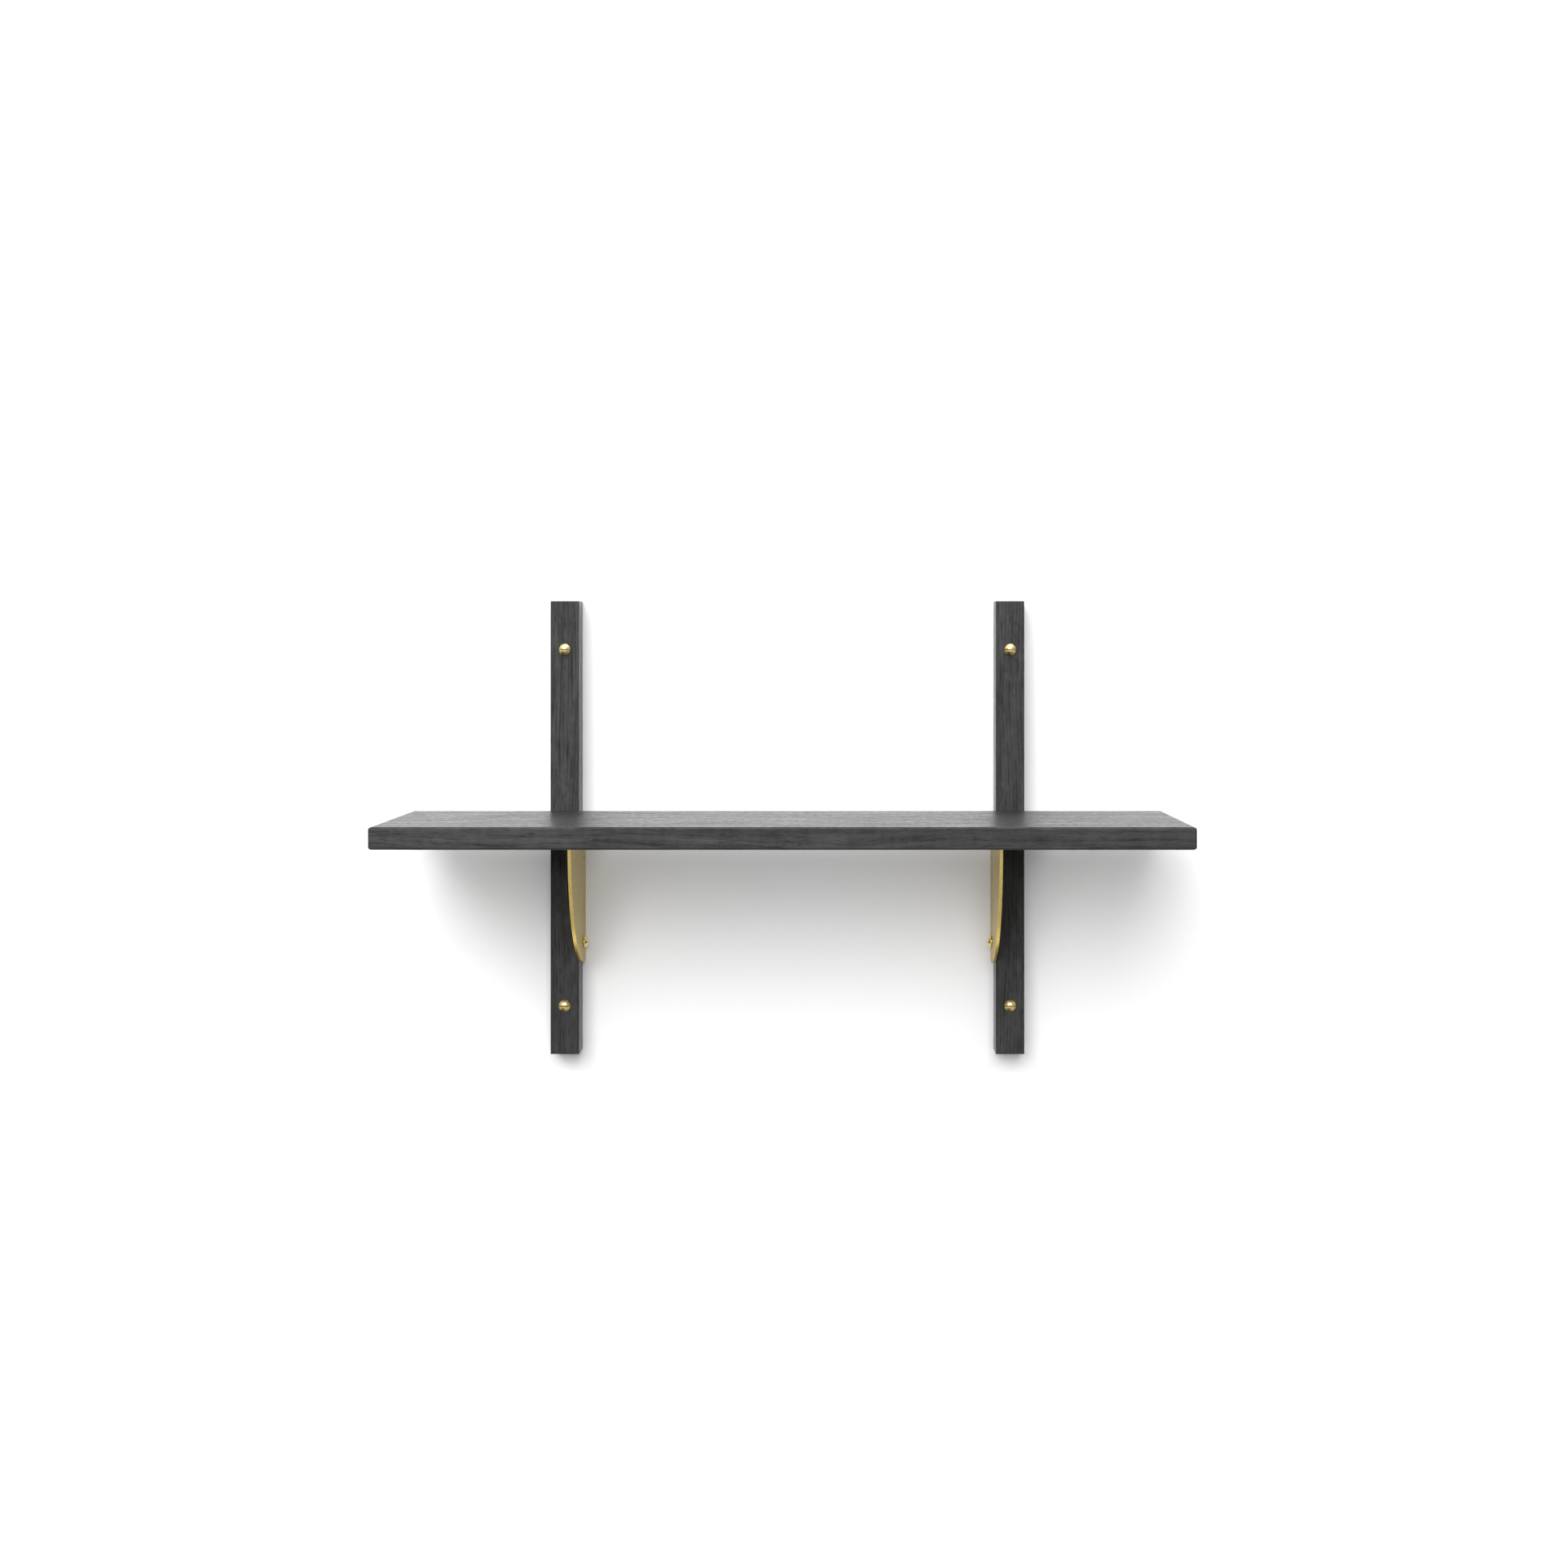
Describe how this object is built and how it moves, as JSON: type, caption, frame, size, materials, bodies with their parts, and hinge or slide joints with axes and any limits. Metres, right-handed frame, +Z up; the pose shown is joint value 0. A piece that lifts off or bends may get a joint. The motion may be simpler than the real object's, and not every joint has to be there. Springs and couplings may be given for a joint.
{
  "type": "wall shelf with brackets",
  "caption": "Wall shelf: black-stained oak board in front of upright battens, carried by quarter-round brass plate brackets with dome-head brass screws.",
  "frame": {"origin": "centre of the four wall screws' rectangle, on the wall plane at the back of the uprights", "axes": "+X to the right seen from the front, +Y from the shelf into the wall, +Z up"},
  "size_m": [0.58, 0.23, 0.35],
  "materials": {
    "black_oak": "black-stained open-pore oak, satin lacquer",
    "brass_plate": "brushed, lightly lacquered",
    "brass_screw": "polished",
    "pin_black": "blackened steel"
  },
  "bodies": {
    "root": {"upright_left": "black_oak", "upright_right": "black_oak", "shelf_board": "black_oak", "bracket_left": "brass_plate", "bracket_right": "brass_plate", "wall_screw_top_left": "brass_screw", "wall_screw_top_right": "brass_screw", "wall_screw_bottom_left": "brass_screw", "wall_screw_bottom_right": "brass_screw", "bracket_screw_left": "brass_screw", "bracket_screw_right": "brass_screw", "board_screw_rear_left": "brass_screw", "board_screw_front_left": "brass_screw", "board_screw_rear_right": "brass_screw", "board_screw_front_right": "brass_screw", "bracket_pin_left": "pin_black", "bracket_pin_right": "pin_black"}
  },
  "joints": []
}
